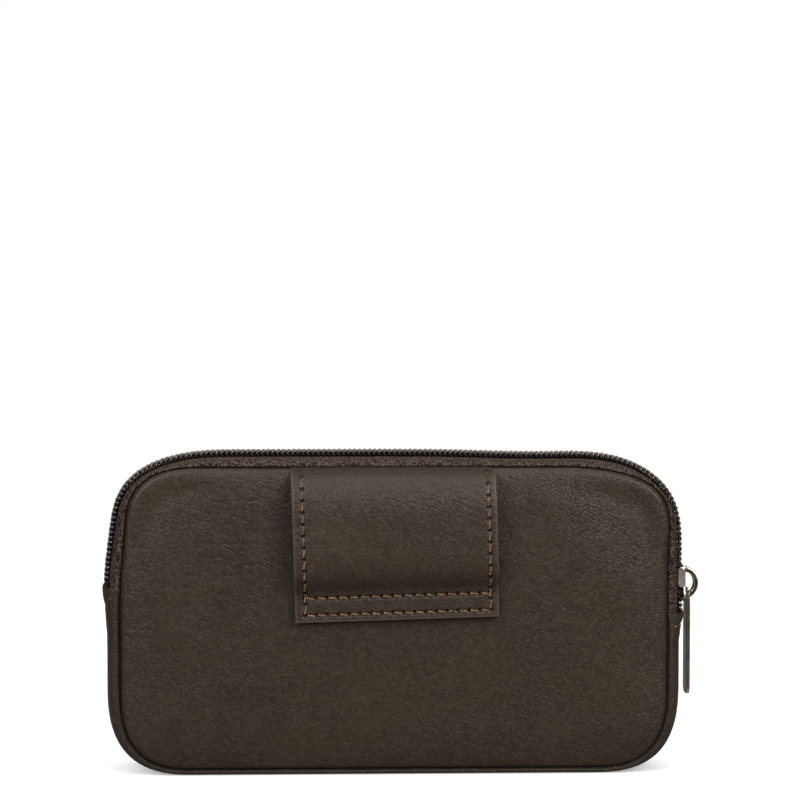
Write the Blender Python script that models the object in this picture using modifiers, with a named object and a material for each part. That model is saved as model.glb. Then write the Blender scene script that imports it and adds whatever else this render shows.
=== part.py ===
"""Leather belt pouch with a coil zip round its top and a belt loop on its back.

Metres, +Z up. The belt-loop side faces -Y and +X is to the right as seen from there.
The origin is the centre of the flat base. Every piece is one named object.
"""

import math

import bmesh
import bpy
import numpy as np
from mathutils import Matrix, Vector

# Body: the seam outline that both panels share, and how far each panel bulges beyond it
seam_half_width = 0.0790
seam_height = 0.0874
upper_corner_width = 0.033
upper_corner_height = 0.024
lower_corner_width = 0.021
lower_corner_height = 0.024
seam_half_depth = 0.011
panel_rim_wall = 0.0006
shoulder_width = 0.012
shoulder_rise = 0.0026
crown_rise = 0.0008

# Sheet materials and the clearance between neighbouring pieces
leather_thickness = 0.0012
lining_thickness = 0.0004
tape_thickness = 0.0006
touch_gap = 0.0003
cut_overrun = 0.004

# Gusset: how far the strip stands out from the seams, below and at the sides
base_crown = 0.0018
side_crown = 0.0040

# Zip ends: the folded tabs on the gusset's ends
right_tab_top = 0.046
right_tab_length = 0.009
left_tab_top = 0.055
left_tab_length = 0.016
tab_flare = 0.0012

# Zip chain, whose tape stands out further at the sides than along the top
tape_top_crown = 0.0023
tape_side_crown = 0.0032
tape_flat_reach = 0.006
tape_inner_edge = 0.0017
coil_pitch = 0.00147
coil_thickness = 0.0014
coil_dip = 0.0006
coil_reach = 0.003
coil_edge_slope = 0.0004
tooth_reach = 0.00035
tooth_root = 0.00095
coil_parting = 0.0024
coil_parting_length = 0.0058

# Fold line of the front panel, where the mouth opens, above the slider's highest place
fold_clearance = 0.0022
fold_gap = 0.0004

# Slider
slider_park = 0.0029
slider_travel = 0.009
slider_length = 0.0104
channel_length = 0.0061
slider_half_width = 0.0041
nose_half_width = 0.0049
nose_tip_half_width = 0.0032
plate_thickness = 0.0008
nose_tip_thickness = 0.0003
flange_drop = 0.00155
flange_inset = 0.00025
flange_corner = 0.0010
plate_corner = 0.0005
divider_length = 0.0019
divider_half_width = 0.00095
divider_tip_half_width = 0.0004

# Crown: the arch that the pull hangs from
crown_radius = 0.0049
crown_thickness = 0.0013
crown_width = 0.0034
crown_centre_height = 0.0052
crown_centre_sink = 0.0009
crown_post_height = 0.0031

# Pull tab
pull_length = 0.0309
pull_width = 0.0076
pull_eye_width = 0.0062
pull_thickness = 0.00125
pull_corner = 0.0014
pull_eye_radius = 0.0006
pull_shoulder = 0.0062
pull_edge_bevel = 0.0002
pull_clearance = 0.00022

# Belt loop
loop_width = 0.0582
loop_bottom = 0.0460
loop_top_inset = 0.0008
loop_sewn_height = 0.0080
loop_backing_thickness = 0.0009
loop_face_thickness = 0.0011
belt_gap = 0.0046
loop_tilt_degrees = 1.6

# Shape tables, as shares of the sizes they follow
corner_fullness = 2.7
corner_steps = 8
shoulder_shares = (0.0, 0.04, 0.15, 0.42, 1.0)
plateau_share = 0.72
base_reach_shares = (1.0, 0.975, 0.92, 0.84)
side_reach_shares = (1.0, 0.94, 0.78, 0.58)
arch_height_shares = (0.0, 0.5, 0.9, 1.0)
tape_height_shares = (0.0, 0.5, 0.88, 1.0, 1.0)
tape_reach_shares = (1.0, 0.88, 0.5)
nose_depth_shares = (0.0, 0.4, 0.75, 1.0)
nose_slope_shares = (0.0, 0.2, 0.6, 1.0)
divider_wide_share = 0.68
plate_round_shares = (0.0, 0.5, 1.0)
loop_rise_shares = (0.0, 0.02, 0.06, 0.10, 0.84, 0.90, 0.955, 1.0)
loop_bow_shares = (0.0, 0.45, 0.88, 1.0, 1.0, 0.82, 0.36, -0.45)
arc_steps = 12
corner_arc_steps = 3
tab_steps = 4
path_steps = 160
merge_share = 0.01

# Values that several pieces line up with
seam_bottom = base_crown
seam_top = seam_bottom + seam_height
upper_corner_start = seam_top - upper_corner_height
lower_corner_end = seam_bottom + lower_corner_height
panel_rim = seam_half_depth + touch_gap
panel_face = panel_rim + panel_rim_wall + shoulder_rise + crown_rise
plate_inner = tape_side_crown + touch_gap + coil_thickness + touch_gap
plate_outer = plate_inner + plate_thickness
slider_bottom = right_tab_top + slider_park
slider_top = slider_bottom + slider_length
channel_bottom = slider_top - channel_length
fold_height = slider_top + slider_travel + fold_clearance
crown_centre_x = seam_half_width + plate_outer - crown_centre_sink
crown_centre_z = slider_bottom + crown_centre_height
pull_inner_face = seam_half_width + plate_outer + pull_clearance
pull_centre_x = pull_inner_face + pull_thickness / 2
fold_axis_y = panel_face + touch_gap
loop_inner_face = panel_face + touch_gap


def clear_scene():
    """Start from an empty file without closing the one that is open."""
    for old in list(bpy.data.objects):
        bpy.data.objects.remove(old)
    for old in list(bpy.data.collections):
        bpy.data.collections.remove(old)


def make_collection(name):
    """Add a collection to the scene."""
    collection = bpy.data.collections.new(name)
    bpy.context.scene.collection.children.link(collection)
    return collection


def make_material(name, colour, roughness, metallic):
    """A Principled material with one colour and finish."""
    material = bpy.data.materials.new(name)
    material.use_nodes = True
    shader = material.node_tree.nodes["Principled BSDF"]
    shader.inputs["Base Color"].default_value = (*colour, 1.0)
    shader.inputs["Roughness"].default_value = roughness
    shader.inputs["Metallic"].default_value = metallic
    material.diffuse_color = (*colour, 1.0)
    return material


def place(thing, finish):
    """Put an object in the part's collection and give it its material."""
    for holder in list(thing.users_collection):
        holder.objects.unlink(thing)
    parts.objects.link(thing)
    thing.data.materials.clear()
    if finish is not None:
        thing.data.materials.append(finish)
    return thing


def object_from_bmesh(name, mesh_tool, finish):
    """Turn a bmesh into a named object of the part."""
    mesh = bpy.data.meshes.new(name)
    mesh_tool.to_mesh(mesh)
    mesh_tool.free()
    return place(bpy.data.objects.new(name, mesh), finish)


def add_solidify(thing, thickness):
    """Give an open surface its thickness, inwards from its outer face."""
    wall = thing.modifiers.new("wall", "SOLIDIFY")
    wall.thickness = thickness
    wall.offset = -1.0
    wall.use_even_offset = True
    wall.use_quality_normals = True
    return wall


def ease(share):
    """Smooth step from 0 to 1."""
    share = min(max(share, 0.0), 1.0)
    return share * share * (3.0 - 2.0 * share)


def corner_station(side, upper, share):
    """Point and outward normal on a rounded corner: share 0 is its side end, 1 its top or bottom end."""
    if upper:
        half_x, half_z, sign_z = upper_corner_width, upper_corner_height, 1.0
        centre_z = upper_corner_start
    else:
        half_x, half_z, sign_z = lower_corner_width, lower_corner_height, -1.0
        centre_z = lower_corner_end
    angle = share * math.pi / 2
    across = max(math.cos(angle), 0.0) ** (2 / corner_fullness)
    along = math.sin(angle) ** (2 / corner_fullness)
    point_x = side * (seam_half_width - half_x + half_x * across)
    point_z = centre_z + sign_z * half_z * along
    slope = Vector((side * across ** (corner_fullness - 1) / half_x,
                    sign_z * along ** (corner_fullness - 1) / half_z)).normalized()
    return (point_x, point_z, slope.x, slope.y)


def side_station(side, height):
    """Point and outward normal on the seam outline at a height on one side."""
    if height <= upper_corner_start:
        return (side * seam_half_width, height, side, 0.0)
    climb = (height - upper_corner_start) / upper_corner_height
    share = math.asin(climb ** (corner_fullness / 2)) * 2 / math.pi
    return corner_station(side, True, share)


def stations_up(side, low, high=seam_top):
    """Stations up one side of the outline, from one height to another."""
    stations = [side_station(side, low)]
    for step in range(corner_steps + 1):
        station = corner_station(side, True, step / corner_steps)
        if low < station[1] < high:
            stations.append(station)
    if high < seam_top:
        stations.append(side_station(side, high))
    else:
        stations.append(corner_station(side, True, 1.0))
    return stations


def stations_over(right_height, left_height):
    """Stations from a height on the right side, over the top, to a height on the left side."""
    return stations_up(1.0, right_height) + stations_up(-1.0, left_height)[::-1]


def stations_under(right_height, left_height):
    """Stations from a height on the right side, round the bottom, to a height on the left side."""
    halves = []
    for side, height in ((1.0, right_height), (-1.0, left_height)):
        half = [(side * seam_half_width, height, side, 0.0)]
        half += [corner_station(side, False, step / corner_steps) for step in range(corner_steps + 1)]
        halves.append(half)
    return halves[0] + halves[1][::-1]


def outline_stations():
    """Stations of the whole closed seam outline."""
    stations = []
    for side, upper, up in ((1.0, False, False), (1.0, True, True), (-1.0, True, False), (-1.0, False, True)):
        shares = [step / corner_steps for step in range(corner_steps + 1)]
        if not up:
            shares.reverse()
        stations += [corner_station(side, upper, share) for share in shares]
    return stations


def offset_profile(profile, distance):
    """Move an open profile sideways by a distance, to the right of its direction."""
    points = [Vector(point) for point in profile]
    moved = []
    for index, point in enumerate(points):
        before = (point - points[index - 1]).normalized() if index > 0 else None
        after = (points[index + 1] - point).normalized() if index < len(points) - 1 else None
        first = before or after
        second = after or before
        normal_one = Vector((first.y, -first.x))
        normal_two = Vector((second.y, -second.x))
        middle = (normal_one + normal_two).normalized()
        moved.append(tuple(point + middle * distance / middle.dot(normal_one)))
    return moved


def point_at(station, reach, height):
    """A station's point moved outwards in its plane by a height and sideways along Y by a reach."""
    return Vector((station[0] + height * station[2], reach, station[1] + height * station[3]))


def grid_surface(name, rows, outward, finish, closed=False, cap_last=False):
    """An open surface through rows of points, with its faces turned to the outward direction."""
    tool = bmesh.new()
    grid = [[tool.verts.new(point) for point in row] for row in rows]
    columns = len(rows[0])
    faces = []
    for row in range(len(rows) - 1):
        for column in range(columns if closed else columns - 1):
            beside = (column + 1) % columns
            faces.append(tool.faces.new((grid[row][column], grid[row][beside],
                                         grid[row + 1][beside], grid[row + 1][column])))
    if cap_last:
        faces.append(tool.faces.new(grid[-1]))
    bmesh.ops.recalc_face_normals(tool, faces=tool.faces)
    probe = faces[-1] if cap_last else faces[len(faces) // 2]
    probe.normal_update()
    if probe.normal.dot(outward) < 0:
        bmesh.ops.reverse_faces(tool, faces=tool.faces)
    return object_from_bmesh(name, tool, finish)


def closed_loft(name, rings, finish):
    """A closed solid through rings of points, with its two ends filled."""
    tool = bmesh.new()
    loops = [[tool.verts.new(point) for point in ring] for ring in rings]
    count = len(rings[0])
    for ring in range(len(rings) - 1):
        for index in range(count):
            beside = (index + 1) % count
            tool.faces.new((loops[ring][index], loops[ring][beside],
                            loops[ring + 1][beside], loops[ring + 1][index]))
    tool.faces.new(loops[0])
    tool.faces.new(loops[-1])
    bmesh.ops.recalc_face_normals(tool, faces=tool.faces)
    return object_from_bmesh(name, tool, finish)


def extruded_outline(name, points, thickness, frame, finish):
    """A flat outline given a thickness, made a mesh with its place and turn applied."""
    curve = bpy.data.curves.new(name, "CURVE")
    curve.dimensions = "2D"
    curve.fill_mode = "BOTH"
    curve.extrude = thickness / 2
    spline = curve.splines.new("POLY")
    spline.points.add(len(points) - 1)
    for target, (across, up) in zip(spline.points, points):
        target.co = (across, up, 0.0, 1.0)
    spline.use_cyclic_u = True
    drawn = bpy.data.objects.new(name + "_outline", curve)
    bpy.context.scene.collection.objects.link(drawn)
    bpy.context.view_layer.update()
    evaluated = drawn.evaluated_get(bpy.context.evaluated_depsgraph_get())
    mesh = bpy.data.meshes.new_from_object(evaluated)
    bpy.data.objects.remove(drawn)
    tool = bmesh.new()
    tool.from_mesh(mesh)
    bpy.data.meshes.remove(mesh)
    bmesh.ops.remove_doubles(tool, verts=tool.verts, dist=touch_gap * merge_share)
    bmesh.ops.recalc_face_normals(tool, faces=tool.faces)
    tool.transform(frame)
    return object_from_bmesh(name, tool, finish)


def side_view_frame(centre):
    """Local X and Y of an outline become world Y and Z, and its thickness runs along X."""
    turn = Matrix(((0, 0, 1, 0), (1, 0, 0, 0), (0, 1, 0, 0), (0, 0, 0, 1)))
    return Matrix.Translation(centre) @ turn


def front_view_frame(centre):
    """Local X and Y of an outline become world X and Z, and its thickness runs along Y."""
    turn = Matrix(((1, 0, 0, 0), (0, 0, -1, 0), (0, 1, 0, 0), (0, 0, 0, 1)))
    return Matrix.Translation(centre) @ turn


def box_between(name, low, high):
    """A box from its lowest to its highest corner."""
    low, high = Vector(low), Vector(high)
    tool = bmesh.new()
    bmesh.ops.create_cube(tool, size=1.0)
    bmesh.ops.scale(tool, vec=high - low, verts=tool.verts)
    bmesh.ops.translate(tool, vec=(high + low) / 2, verts=tool.verts)
    return object_from_bmesh(name, tool, None)


def make_cutter(thing):
    """Move an object to the cutters and hide it from renders."""
    parts.objects.unlink(thing)
    cutters.objects.link(thing)
    thing.hide_render = True
    thing.display_type = "WIRE"
    return thing


def add_boolean(thing, other, operation):
    """Cut an object by another, or join the two, with a live modifier."""
    step = thing.modifiers.new(other.name, "BOOLEAN")
    step.operation = operation
    step.solver = "EXACT"
    step.object = other


def panel_profile(sink):
    """Inset from the seam and depth beyond it, from a panel's rim to its shoulder's inner end."""
    wall = 0.0 if sink else panel_rim_wall
    rise = panel_rim_wall + shoulder_rise - sink - wall
    profile = [(sink, panel_rim), (sink, panel_rim + wall)] if wall else [(sink, panel_rim)]
    for share in shoulder_shares[1:]:
        round_share = math.sqrt(1.0 - (1.0 - share) ** 2)
        profile.append((sink + shoulder_width * share, panel_rim + wall + rise * round_share))
    return profile


def panel_shell(name, facing, thickness, sink, finish):
    """A crowned panel: rings that follow the seam outline, a flat middle, and a wall's thickness."""
    face = panel_face - sink
    stations = outline_stations()
    rings = [[point_at(station, facing * depth, -inset) for station in stations]
             for inset, depth in panel_profile(sink)]
    middle_z = seam_bottom + seam_height / 2
    plateau = []
    for point in rings[-1]:
        plateau.append(Vector((point.x * plateau_share, facing * face,
                               middle_z + (point.z - middle_z) * plateau_share)))
    rings.append(plateau)
    shell = grid_surface(name, rings, Vector((0, facing, 0)), finish, closed=True, cap_last=True)
    add_solidify(shell, thickness)
    return shell


def fold_cutters():
    """Two boxes that part the front panel and its lining along the fold line."""
    reach = seam_half_width + cut_overrun
    far = panel_face + cut_overrun
    above = box_between("above_fold", (-reach, 0.0, fold_height - fold_gap / 2),
                        (reach, far, seam_top + cut_overrun))
    below = box_between("below_fold", (-reach, 0.0, -cut_overrun), (reach, far, fold_height + fold_gap / 2))
    return make_cutter(above), make_cutter(below)


def arch_section(crown, reach_shares):
    """Reach and height of an arched section, from the back seam to the front seam."""
    half = [(-seam_half_depth * reach, crown * height)
            for reach, height in zip(reach_shares, arch_height_shares)]
    return half + [(-reach, height) for reach, height in half[::-1]]


def strip(name, stations, sections, thickness, finish):
    """A strip bent along the outline, with its own section at each station."""
    rows = [[point_at(station, reach, height) for reach, height in section]
            for station, section in zip(stations, sections)]
    middle = stations[(len(stations) - 1) // 2]
    thing = grid_surface(name, rows, Vector((middle[2], 0, middle[3])), finish)
    add_solidify(thing, thickness)
    return thing


def gusset_section(station):
    """The gusset's section: low with a wide flat along the base, higher and rounder at the sides."""
    side_share = 1.0 - station[3] ** 2
    crown = base_crown + (side_crown - base_crown) * side_share
    reach_shares = [base + (side - base) * side_share
                    for base, side in zip(base_reach_shares, side_reach_shares)]
    return arch_section(crown, reach_shares)


def make_gusset():
    """The leather strip round the sides and the flat base."""
    right_end = right_tab_top - right_tab_length - touch_gap
    left_end = left_tab_top - left_tab_length - touch_gap
    stations = stations_under(right_end, left_end)
    sections = [gusset_section(station) for station in stations]
    strip("gusset", stations, sections, leather_thickness, leather)


def make_gusset_lining():
    """The cloth inside the gusset and the tabs."""
    sink = leather_thickness + touch_gap
    stations = stations_under(right_tab_top - sink, left_tab_top - sink)
    sections = [offset_profile(gusset_section(station), sink) for station in stations]
    strip("gusset_lining", stations, sections, lining_thickness, lining_cloth)


def make_tab(name, side, top, length):
    """A folded leather end that holds the zip's end and flares outwards at its top."""
    shares = [step / tab_steps for step in range(tab_steps + 1)]
    stations = [side_station(side, top - length * (1.0 - share)) for share in shares]
    sections = [arch_section(side_crown + tab_flare * ease(share), side_reach_shares) for share in shares]
    strip(name, stations, sections, leather_thickness, leather)


def tape_crown_at(station):
    """How far the tapes stand out from the seam at a station, from the top to the sides."""
    return tape_top_crown + (tape_side_crown - tape_top_crown) * station[2] ** 2


def tape_section(facing, station):
    """Reach and height of one zip tape, from its seam to its edge beside the chain's middle."""
    slope = seam_half_depth - tape_flat_reach
    reaches = [tape_flat_reach + slope * share for share in tape_reach_shares]
    reaches += [tape_flat_reach, tape_inner_edge]
    crown = tape_crown_at(station)
    return [(facing * reach, crown * height) for reach, height in zip(reaches, tape_height_shares)]


def make_tape(name, facing, stations):
    """A run of woven tape."""
    sections = [tape_section(facing, station) for station in stations]
    strip(name, stations, sections, tape_thickness, tape_cloth)


def chain_path():
    """Evenly measured path of the zip chain: arc lengths, points and normals."""
    low_right = right_tab_top + touch_gap
    low_left = left_tab_top + touch_gap
    stations = []
    for side, low in ((1.0, low_right), (-1.0, low_left)):
        half = []
        for step in range(path_steps + 1):
            half.append(side_station(side, low + (upper_corner_start - low) * step / path_steps))
        for step in range(1, path_steps + 1):
            half.append(corner_station(side, True, step / path_steps))
        stations += half if side > 0 else half[::-1]
    table = np.array(stations)
    middles = tape_crown_at(table.T) + touch_gap + coil_thickness / 2
    centres = table[:, :2] + middles[:, None] * table[:, 2:]
    lengths = np.concatenate(([0.0], np.cumsum(np.linalg.norm(np.diff(centres, axis=0), axis=1))))
    return lengths, table


def chain_station(path, length):
    """The outline station that lies under a length along the chain."""
    lengths, table = path
    values = [float(np.interp(length, lengths, table[:, column])) for column in range(4)]
    size = math.hypot(values[2], values[3])
    return (values[0], values[1], values[2] / size, values[3] / size)


def coil_parting_at(station):
    """How far a coil half is spread from the middle where the slider parts the chain."""
    if station[0] < 0:
        return 0.0
    return coil_parting * ease((channel_bottom - station[1]) / coil_parting_length)


def coil_ring(station, facing, is_tooth):
    """Section of a coil half: a thick turn that reaches past the middle, or the dip between turns."""
    spread = coil_parting_at(station)
    inner = -tooth_reach if is_tooth else tooth_root
    base = tape_crown_at(station) + touch_gap
    top = base + coil_thickness if is_tooth else base + coil_thickness - coil_dip
    outline = ((coil_reach, base), (coil_reach - coil_edge_slope, top), (inner, top), (inner, base))
    return [point_at(station, facing * (reach + spread), height) for reach, height in outline]


def make_coils():
    """Both coil halves: turns that mesh half a pitch apart, the front one parted at the fold."""
    path = chain_path()
    total = path[0][-1]
    turns = int(total / coil_pitch)
    start = (total - turns * coil_pitch) / 2
    stations = [chain_station(path, start + step * coil_pitch / 2) for step in range(2 * turns + 1)]
    back = [coil_ring(station, -1.0, step % 2 == 0) for step, station in enumerate(stations)]
    closed_loft("back_zip_coil", back, coil_plastic)
    runs = {"front_zip_coil_right": [], "front_zip_coil_top": [], "front_zip_coil_left": []}
    for step, station in enumerate(stations):
        ring = coil_ring(station, 1.0, step % 2 == 1)
        if station[1] > fold_height + fold_gap / 2:
            runs["front_zip_coil_top"].append(ring)
        elif station[1] < fold_height - coil_pitch / 2:
            runs["front_zip_coil_right" if station[0] > 0 else "front_zip_coil_left"].append(ring)
    for name, rings in runs.items():
        closed_loft(name, rings, coil_plastic)


def slider_plan(rear_half_width):
    """Heights down the slider and its half width at each: straight at the rear, wide at the nose."""
    nose_length = slider_length - channel_length
    plan = [(slider_top, rear_half_width)]
    for depth, half in zip(nose_depth_shares, (rear_half_width, nose_half_width,
                                               nose_half_width, nose_tip_half_width)):
        plan.append((channel_bottom - nose_length * depth, half))
    return plan


def rounded_rectangle(low, high, radius):
    """Outline of a rectangle whose four corners are rounded."""
    corners = ((high[0] - radius, low[1] + radius), (high[0] - radius, high[1] - radius),
               (low[0] + radius, high[1] - radius), (low[0] + radius, low[1] + radius))
    points = []
    for quarter, (across, up) in enumerate(corners, start=-1):
        for step in range(corner_arc_steps + 1):
            angle = (quarter + step / corner_arc_steps) * math.pi / 2
            points.append((across + radius * math.cos(angle), up + radius * math.sin(angle)))
    return points


def top_plate_rings():
    """Rings of the slider's top plate: rounded at the rear, thinner and lower towards the nose's tip."""
    plate_half_width = slider_half_width - flange_inset
    rear, *nose = slider_plan(plate_half_width)
    levels = []
    for share in plate_round_shares:
        angle = share * math.pi / 2
        levels.append((rear[0] - plate_corner * (1.0 - math.cos(angle)), rear[1],
                       plate_corner * (1.0 - math.sin(angle))))
    for (height, half), slope in zip(nose, nose_slope_shares):
        levels.append((height, half, (plate_thickness - nose_tip_thickness) * slope))
    inner = seam_half_width + plate_inner
    rings = []
    for height, half, drop in levels:
        outer = seam_half_width + plate_outer - drop
        rings.append([(inner, -half, height), (outer, -half, height),
                      (outer, half, height), (inner, half, height)])
    return rings


def make_slider():
    """The slider: a top plate with two flanges over the meshed chain, an under plate, and the divider."""
    body = closed_loft("slider_body", top_plate_rings(), metal)
    joined = []
    flange_inner = coil_reach + touch_gap
    low = (seam_half_width + plate_inner - flange_drop, channel_bottom)
    high = (seam_half_width + plate_outer - flange_inset, slider_top - flange_inset)
    for side in (-1.0, 1.0):
        middle = (0.0, side * (flange_inner + slider_half_width) / 2, 0.0)
        joined.append(extruded_outline("slider_flange", rounded_rectangle(low, high, flange_corner),
                                       slider_half_width - flange_inner, front_view_frame(middle), None))

    under_top = tape_side_crown - tape_thickness - touch_gap
    plan = slider_plan(slider_half_width)
    outline = [(-half, height) for height, half in plan] + [(half, height) for height, half in plan[::-1]]
    under_x = seam_half_width + under_top - plate_thickness / 2
    joined.append(extruded_outline("slider_under_plate", outline, plate_thickness,
                                   side_view_frame((under_x, 0.0, 0.0)), None))

    tip_z = slider_bottom + touch_gap + divider_length
    wide_z = tip_z - divider_length * divider_wide_share
    kite = [(0.0, tip_z), (-divider_half_width, wide_z), (-divider_tip_half_width, slider_bottom + touch_gap),
            (divider_tip_half_width, slider_bottom + touch_gap), (divider_half_width, wide_z)]
    post_low = under_top - plate_thickness / 2
    post_high = plate_inner + nose_tip_thickness / 2
    post_x = seam_half_width + (post_low + post_high) / 2
    joined.append(extruded_outline("slider_divider", kite, post_high - post_low,
                                   side_view_frame((post_x, 0.0, 0.0)), None))
    for piece in joined:
        add_boolean(body, make_cutter(piece), "UNION")


def make_crown():
    """The arch on the slider, with a thicker post where its upper leg stands."""
    inner_radius = crown_radius - crown_thickness
    upper_foot = seam_half_width + plate_outer + touch_gap - crown_centre_x
    lower_foot = upper_foot - plate_thickness / 2
    outer_start = -math.acos(lower_foot / crown_radius)
    outer_end = math.acos(upper_foot / crown_radius)
    inner_start = -math.acos(lower_foot / inner_radius)
    inner_end = math.asin(crown_post_height / inner_radius)
    points = []
    for step in range(arc_steps + 1):
        angle = outer_start + (outer_end - outer_start) * step / arc_steps
        points.append((crown_radius * math.cos(angle), crown_radius * math.sin(angle)))
    points.append((upper_foot, crown_post_height))
    for step in range(arc_steps + 1):
        angle = inner_end + (inner_start - inner_end) * step / arc_steps
        points.append((inner_radius * math.cos(angle), inner_radius * math.sin(angle)))
    seat = front_view_frame((crown_centre_x, 0.0, crown_centre_z))
    extruded_outline("slider_crown", points, crown_width, seat, metal)


def make_pull():
    """The flat pull tab, hanging from the arch by a round-topped eye."""
    eye_path = crown_radius - crown_thickness - touch_gap - pull_eye_radius
    offset_x = pull_centre_x - crown_centre_x
    eye_z = crown_centre_z - math.sqrt(eye_path ** 2 - offset_x ** 2)
    inner_x = offset_x - pull_thickness / 2
    slot_low = crown_centre_z - math.sqrt(crown_radius ** 2 - inner_x ** 2) - touch_gap
    slot_half = crown_width / 2 + touch_gap
    bottom = eye_z + pull_eye_radius - pull_length
    half = pull_width / 2
    eye_half = pull_eye_width / 2
    outline = [(-eye_half, eye_z), (-half, eye_z - pull_shoulder), (-half, bottom + pull_corner),
               (pull_corner - half, bottom), (half - pull_corner, bottom), (half, bottom + pull_corner),
               (half, eye_z - pull_shoulder), (eye_half, eye_z)]
    slot = [(-slot_half, slot_low), (slot_half, slot_low), (slot_half, eye_z), (-slot_half, eye_z)]
    seat = side_view_frame((pull_centre_x, 0.0, 0.0))
    pull = extruded_outline("zip_pull", outline, pull_thickness, seat, metal)
    cutter = make_cutter(extruded_outline("pull_slot", slot, 2 * pull_thickness, seat, None))
    bevel = pull.modifiers.new("soft_edges", "BEVEL")
    bevel.width = pull_edge_bevel
    bevel.segments = 1
    bevel.limit_method = "ANGLE"
    add_boolean(pull, cutter, "DIFFERENCE")
    tool = bmesh.new()
    bmesh.ops.create_cone(tool, cap_ends=True, segments=arc_steps, radius1=pull_eye_radius,
                          radius2=pull_eye_radius, depth=pull_eye_width)
    bmesh.ops.rotate(tool, verts=tool.verts, matrix=Matrix.Rotation(math.pi / 2, 3, "X"))
    bmesh.ops.translate(tool, verts=tool.verts, vec=(pull_centre_x, 0.0, eye_z))
    bar = make_cutter(object_from_bmesh("pull_eye_bar", tool, None))
    add_boolean(pull, bar, "UNION")


def loop_outline(inner, outer):
    """Closed side outline of one layer of the loop, between two distances from the loop's inner face."""
    top = seam_top - loop_top_inset
    sewn_top = loop_bottom + loop_sewn_height
    line = [(-loop_inner_face, loop_bottom)]
    for rise, bow in zip(loop_rise_shares, loop_bow_shares):
        line.append((-(loop_inner_face + belt_gap * bow), sewn_top + (top - sewn_top) * rise))
    return offset_profile(line, -inner) + offset_profile(line, -outer)[::-1]


def make_belt_loop():
    """Two layers of leather, sewn flat at the bottom and bowed out so that a belt passes behind."""
    middle_z = (loop_bottom + seam_top) / 2
    pivot = Matrix.Translation((0.0, 0.0, middle_z))
    tilt = pivot @ Matrix.Rotation(-math.radians(loop_tilt_degrees), 4, "Y") @ pivot.inverted()
    seat = tilt @ side_view_frame((0.0, 0.0, 0.0))
    backing = loop_outline(0.0, loop_backing_thickness)
    extruded_outline("belt_loop_backing", backing, loop_width, seat, leather)
    face_inner = loop_backing_thickness + touch_gap
    face = loop_outline(face_inner, face_inner + loop_face_thickness)
    extruded_outline("belt_loop_face", face, loop_width, seat, leather)


def make_panels():
    """The back panel, the front panel with its folding lip, and the linings behind them."""
    sink = leather_thickness + touch_gap
    panel_shell("back_panel", -1.0, leather_thickness, 0.0, leather)
    panel_shell("back_lining", -1.0, lining_thickness, sink, lining_cloth)
    above, below = fold_cutters()
    pieces = (("front_panel", leather_thickness, 0.0, leather, above),
              ("front_lip", leather_thickness, 0.0, leather, below),
              ("front_lining", lining_thickness, sink, lining_cloth, above),
              ("front_lip_lining", lining_thickness, sink, lining_cloth, below))
    for name, thickness, depth, finish, cutter in pieces:
        shell = panel_shell(name, 1.0, thickness, depth, finish)
        add_boolean(shell, cutter, "DIFFERENCE")


def make_tapes():
    """The back tape in one run, and the front tape parted at the fold."""
    right_low = right_tab_top + touch_gap
    left_low = left_tab_top + touch_gap
    make_tape("back_zip_tape", -1.0, stations_over(right_low, left_low))
    make_tape("front_zip_tape_right", 1.0, stations_up(1.0, right_low, fold_height - fold_gap))
    make_tape("front_zip_tape_left", 1.0, stations_up(-1.0, left_low, fold_height - fold_gap))
    make_tape("front_zip_tape_top", 1.0, stations_over(fold_height + fold_gap, fold_height + fold_gap))


def hang_on_joint(name, location, children):
    """Parent moving pieces to an empty on their joint's axis, without moving them."""
    empty = bpy.data.objects.new(name, None)
    empty.location = location
    empty.empty_display_size = crown_radius
    parts.objects.link(empty)
    bpy.context.view_layer.update()
    for child in children:
        piece = bpy.data.objects[child]
        piece.parent = empty
        piece.matrix_parent_inverse = empty.matrix_world.inverted()
    return empty


clear_scene()
parts = make_collection("belt_pouch")
cutters = make_collection("cutters")
leather = make_material("brown_leather", (0.030, 0.023, 0.017), 0.55, 0.0)
lining_cloth = make_material("lining_cloth", (0.060, 0.050, 0.040), 0.90, 0.0)
tape_cloth = make_material("zip_tape_cloth", (0.050, 0.040, 0.032), 0.90, 0.0)
coil_plastic = make_material("coil_plastic", (0.022, 0.018, 0.015), 0.40, 0.0)
metal = make_material("antique_nickel", (0.42, 0.38, 0.33), 0.32, 1.0)

make_panels()
make_gusset()
make_gusset_lining()
make_tab("right_zip_end_tab", 1.0, right_tab_top, right_tab_length)
make_tab("left_zip_end_tab", -1.0, left_tab_top, left_tab_length)
make_tapes()
make_coils()
make_slider()
make_crown()
make_pull()
make_belt_loop()

mouth_axis = hang_on_joint("mouth_axis", (0.0, fold_axis_y, fold_height),
                           ("front_lip", "front_lip_lining", "front_zip_tape_top", "front_zip_coil_top"))
slider_axis = hang_on_joint("slider_axis", (seam_half_width, 0.0, slider_bottom),
                            ("slider_body", "slider_crown"))
pull_axis = hang_on_joint("pull_axis", (crown_centre_x, 0.0, crown_centre_z), ("zip_pull",))
pull_axis.parent = slider_axis
pull_axis.matrix_parent_inverse = slider_axis.matrix_world.inverted()
bpy.context.view_layer.update()
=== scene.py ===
from math import copysign, cos, exp, hypot, pi, radians, sin, sqrt

import bmesh
import bpy
import numpy as np
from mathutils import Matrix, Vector, noise


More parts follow.
